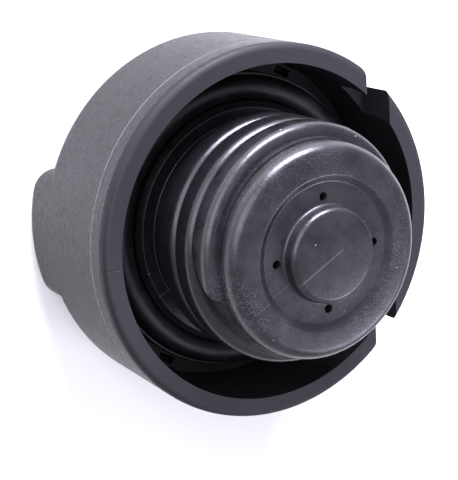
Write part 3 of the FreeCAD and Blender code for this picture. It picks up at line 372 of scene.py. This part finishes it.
def make_shell_plastic():
    """Leather grain on the side and the grip, and a smooth rim, slots and cavity."""
    material, tree, shader, place = new_material("shell_plastic", (0.06, 0.06, 0.066), 0.5)
    x, y, z = split_vector(tree, place)
    radius = axis_distance(tree, x, y)

    # Where the grain lies: below a ragged edge under the rim, on the side and on the back
    edge = plus(tree, z, times(tree, noise(tree, place, 900), 0.0008))
    below = spread(tree, edge, GRAIN_END_LEVEL * MM, (GRAIN_END_LEVEL + GRAIN_END_FADE) * MM, 1, 0)
    normal = tree.nodes.new("ShaderNodeTexCoord").outputs["Normal"]
    normal_x, normal_y, normal_z = split_vector(tree, normal)
    outward = plus(tree, times(tree, normal_x, x), times(tree, normal_y, y))
    outside = spread(tree, maths(tree, "DIVIDE", outward, radius), 0.78, 0.92, 0, 1)
    back = spread(tree, z, GRAIN_BACK_LEVEL * MM, (GRAIN_BACK_LEVEL + 0.2) * MM, 1, 0)
    grained = times(tree, below, maths(tree, "MAXIMUM", outside, back))

    # Heights of the grain, of a fine unevenness and of the mould's lines
    grain = plus(tree, times(tree, cells(tree, place, GRAIN_CELLS, "SMOOTH_F1"), 0.9),
                 times(tree, noise(tree, place, GRAIN_NOISE, 4, 0.65), 1.1))
    fine = times(tree, noise(tree, place, FINE_NOISE, 2), 0.06)
    ring = hairline(tree, minus(tree, z, RING_LINE_LEVEL * MM), RING_LINE_WIDTH)
    ring = times(tree, ring, outside)
    parting = parting_line(tree, x, y, SHELL_PARTING_ANGLE, SHELL_PARTING_START)
    lines = minus(tree, times(tree, ring, 1.5), times(tree, parting, 1.6))
    plain = times(tree, grained, minus(tree, 1.0, ring))
    height = plus(tree, times(tree, grain, plain), plus(tree, fine, lines))
    bumped(tree, shader, height, 1.0, GRAIN_DEPTH)

    # Colour: light tips of the grain, painted light on the up-facing rim face with its rounded edge
    # left dark as painted shade, and a painted highlight on the ring line
    # Painted light: the rim face is greyer only where its surface points up, so its rounding stays
    # dark
    painted_rim_light = times(tree, spread(tree, normal_z, 0.8, 0.98, 0, 1),
                     spread(tree, z, 38.0 * MM, 38.6 * MM, 0, 0.13))
    tips = spread(tree, noise(tree, place, GRAIN_NOISE, 3), 0.46, 0.62, 0, 0.1)
    tint = plus(tree, times(tree, tips, grained), painted_rim_light)
    # Painted highlight: the ring line is tinted lighter
    tint = plus(tree, tint, times(tree, ring, 0.75))
    tree.links.new(mixed(tree, tint, BLACK, SHELL_GREY), shader.inputs["Base Color"])
    gloss = plus(tree, grained, noise(tree, place, 300))
    tree.links.new(spread(tree, gloss, 0.3, 1.6, 0.62, 0.26), shader.inputs["Roughness"])
    shader.inputs["Specular IOR Level"].default_value = 0.32
    return material


def make_plug_plastic():
    """Dark satin plastic with fine light specks on the outer part of its end face."""
    material, tree, shader, place = new_material("plug_plastic", (0.045, 0.045, 0.05), 0.4)
    x, y, z = split_vector(tree, place)
    radius = axis_distance(tree, x, y)

    # Specks, a faint cloud, a few grains of dust and a painted highlight along the parting line on
    # the boss
    outer = spread(tree, radius, 15.6 * MM, 16.6 * MM, 0.25, 1)
    # Painted shade: the specks and the cloud fade away towards the collar, deep in the shell's
    # hollow
    front = spread(tree, z, 44.0 * MM, 57.0 * MM, 0.1, 1)
    # Painted light: the specks are denser towards -Y, so that side of the plug is lighter
    near = spread(tree, y, -16.0 * MM, 14.0 * MM, 1, 0.4)
    patches = spread(tree, noise(tree, place, 90, 1), 0.42, 0.58, 0.25, 1)
    specks = times(tree, spread(tree, noise(tree, place, 3200, 2, 0.8), 0.5, 0.68, 0, 1), patches)
    share = times(tree, specks, times(tree, outer, times(tree, front, near)))
    cloud = times(tree, mottled(tree, place, 160, 2, 0, 0.045), front)
    dust = spread(tree, cells(tree, place, 240), 0.03, 0.045, 1, 0)
    share = maths(tree, "MAXIMUM", plus(tree, times(tree, share, 0.32), cloud), dust)
    line = parting_line(tree, x, y, PLUG_PARTING_ANGLE, PLUG_PARTING_START)
    # Painted highlight: the parting line is tinted lighter on the boss top
    painted_boss_highlight = spread(tree, z, 60.0 * MM, 61.0 * MM, 0, 0.2)
    share = maths(tree, "MAXIMUM", share, times(tree, line, painted_boss_highlight))
    tree.links.new(mixed(tree, share, BLACK, SPECK_GREY), shader.inputs["Base Color"])

    # A fine unevenness and the groove of the parting line
    height = plus(tree, noise(tree, place, 1500, 3),
                  times(tree, noise(tree, place, FINE_NOISE, 2), 0.6))
    bumped(tree, shader, minus(tree, height, times(tree, line, 14.0)), 0.25, 0.0001)
    tree.links.new(mottled(tree, place, 420, 3, 0.26, 0.35), shader.inputs["Roughness"])
    return material


def make_seal_rubber():
    """Deep black rubber with a soft sheen."""
    material, tree, shader, place = new_material("seal_rubber", (0.016, 0.016, 0.017), 0.42)
    tint = mottled(tree, place, 140, 4, 0, 1)
    tree.links.new(mixed(tree, tint, SEAL_DARK, SEAL_LIGHT), shader.inputs["Base Color"])
    bumped(tree, shader, noise(tree, place, 1200, 4), 0.1, 0.0001)
    tree.links.new(mottled(tree, place, 300, 3, 0.36, 0.5), shader.inputs["Roughness"])
    return material


def make_plain(name, low, high, roughness, metallic, grain):
    """Plain moulded or metal finish with a slight mottle and fine unevenness."""
    material, tree, shader, place = new_material(name, low, roughness)
    shader.inputs["Metallic"].default_value = metallic
    tint = mottled(tree, place, 120, 4, 0, 1)
    tree.links.new(mixed(tree, tint, low, high), shader.inputs["Base Color"])
    tree.links.new(mottled(tree, place, 380, 3, roughness - 0.06, roughness + 0.06),
                   shader.inputs["Roughness"])
    bumped(tree, shader, noise(tree, place, grain, 3), 0.08, 0.00008)
    return material


def add_vented_wall(builder, inner, outer, level, facing):
    """Flat ring between two turned edges, with round vents. Returns the vents' edges."""
    vents = []
    edges = []
    for ring in (inner, outer):
        for first, second in zip(ring, ring[1:] + ring[:1]):
            edges.append(builder.edges.get((first, second)) or builder.edges.new((first, second)))
    for index in range(VENT_COUNT):
        centre = polar(VENT_DISTANCE, 360 * index / VENT_COUNT, level)
        vent = [builder.verts.new(centre + polar(VENT_RADIUS, 360 * step / VENT_STEPS, 0))
                for step in range(VENT_STEPS)]
        edges += [builder.edges.new(pair) for pair in zip(vent, vent[1:] + vent[:1])]
        vents.append(vent)
    bmesh.ops.triangle_fill(builder, edges=edges, use_beauty=True, use_dissolve=False,
                            normal=(0, 0, facing))
    return vents


def add_thread(builder):
    """Helical rib with a sharp rear edge and a rounded front edge, cut on a slant at its end."""
    half_width = (THREAD_CREST + THREAD_FRONT_ROUND) / 2
    section = rounded([
        (PLUG_RADIUS - THREAD_ROOT_DEPTH, -half_width),
        (CREST_RADIUS, -half_width, THREAD_REAR_ROUND),
        (CREST_RADIUS, half_width, THREAD_FRONT_ROUND),
        (PLUG_RADIUS - THREAD_ROOT_DEPTH, half_width),
    ], 8)
    rows = []
    for step in range(THREAD_STEPS + 1):
        angle = 360 * THREAD_TURNS * step / THREAD_STEPS
        middle = THREAD_START_LEVEL + half_width + THREAD_PITCH * angle / 360
        run_out = max(0.0, (angle - 360 * THREAD_TURNS + RUN_OUT_ANGLE) / RUN_OUT_ANGLE)
        cut = -half_width + run_out * (half_width * 2 - RUN_OUT_REST)
        over = max(0.0, cut - half_width + THREAD_FRONT_ROUND)
        crest = CREST_RADIUS - THREAD_FRONT_ROUND + math.sqrt(THREAD_FRONT_ROUND ** 2 - over ** 2)
        row = [polar(radius if level > cut else min(radius, crest), THREAD_START_ANGLE + angle,
                     middle + max(level, cut)) for radius, level in section]
        rows.append([builder.verts.new(place) for place in row])
    for near, far in zip(rows, rows[1:]):
        for index in range(len(section)):
            after = (index + 1) % len(section)
            builder.faces.new((near[index], near[after], far[after], far[index]))
    builder.faces.new(rows[0])
    builder.faces.new(reversed(rows[-1]))


def make_plug(material):
    """Plug with its flange, collar, thread, vented end face and boss."""
    builder = bmesh.new()
    profile = [(max(radius, AXIS_RADIUS), level) for radius, level in rounded(PLUG_SECTION)]
    inside, face = [
        [index for index, point in enumerate(profile) if abs(point[1] - level) < 0.001][0]
        for level in (INSIDE_LEVEL, RECESS_LEVEL)]
    rings = turned(builder, profile, skip=(inside, face))
    lower = add_vented_wall(builder, rings[inside], rings[inside + 1], INSIDE_LEVEL, -1)
    upper = add_vented_wall(builder, rings[face + 1], rings[face], RECESS_LEVEL, 1)
    for low, high in zip(lower, upper):
        join_rings(builder, high, low)
    bmesh.ops.remove_doubles(builder, verts=rings[0] + rings[1], dist=0.00005)
    add_thread(builder)
    plug = piece_from("threaded_plug_moulding", builder, "closure", material)
    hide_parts("threaded_plug")


def make_seal(material):
    """Round seal about the collar."""
    builder = bmesh.new()
    section = []
    for step in range(SEAL_STEPS):
        turn = 2 * math.pi * step / SEAL_STEPS
        section.append((SEAL_RADIUS + SEAL_SECTION * math.cos(turn),
                        SEAL_CENTRE_LEVEL + SEAL_SECTION * math.sin(turn)))
    turned(builder, section)
    seal = piece_from("neck_seal_ring", builder, "closure", material)
    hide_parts("neck_seal")


def make_spring(node, body, joint, fixed_level, travel):
    """Coil of a spring's node, a copy of its mesh that rides on the body."""
    spring = place_in_scene(node + "_coil", nodes[node].data.copy())
    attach(spring, body)
    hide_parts(node)
    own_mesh(spring)


def make_floor():
    """Plain pale floor."""
    builder = bmesh.new()
    bmesh.ops.create_grid(builder, x_segments=1, y_segments=1, size=FLOOR_SIZE)
    mesh = bpy.data.meshes.new("floor")
    builder.to_mesh(mesh)
    builder.free()
    material, _, shader, _ = new_material("floor_white", FLOOR_WHITE, 0.8)
    shader.inputs["Specular IOR Level"].default_value = 0.1
    mesh.materials.append(material)
    place_in_scene("floor", mesh)


def make_light(name, place, target, size, power):
    """Rectangular lamp that faces its target."""
    data = bpy.data.lights.new(name, "AREA")
    data.shape = "RECTANGLE"
    data.size, data.size_y = size
    data.energy = power
    data.color = COOL_WHITE
    light = place_in_scene(name, data)
    light.location = place
    light.rotation_mode = "QUATERNION"
    light.rotation_quaternion = (Vector(target) - Vector(place)).to_track_quat("-Z", "Y")


def make_lights():
    """Soft white tent with three lamps."""
    world = bpy.data.worlds.new("tent")
    world.use_nodes = True
    background = world.node_tree.nodes["Background"]
    background.inputs["Color"].default_value = (*COOL_WHITE, 1)
    background.inputs["Strength"].default_value = TENT_STRENGTH
    bpy.context.scene.world = world
    bpy.context.scene.view_settings.view_transform = "Standard"
    for light in LIGHTS:
        make_light(*light)


make_camera()
make_floor()
make_lights()

finishes = {
    "shell_plastic": make_shell_plastic(),
    "plug_plastic": make_plug_plastic(),
    "seal_rubber": make_seal_rubber(),
}
for slot_name, values in PLAIN_FINISHES.items():
    finishes[slot_name] = make_plain(slot_name, *values)
for row in frame["record"]["subparts"]:
    node = nodes[row["node"]]
    node.data.materials.clear()
    node.data.materials.append(finishes[row["material_slot"]])

make_plug(finishes["plug_plastic"])
make_seal(finishes["seal_rubber"])
for spring_values in SPRINGS:
    make_spring(*spring_values)
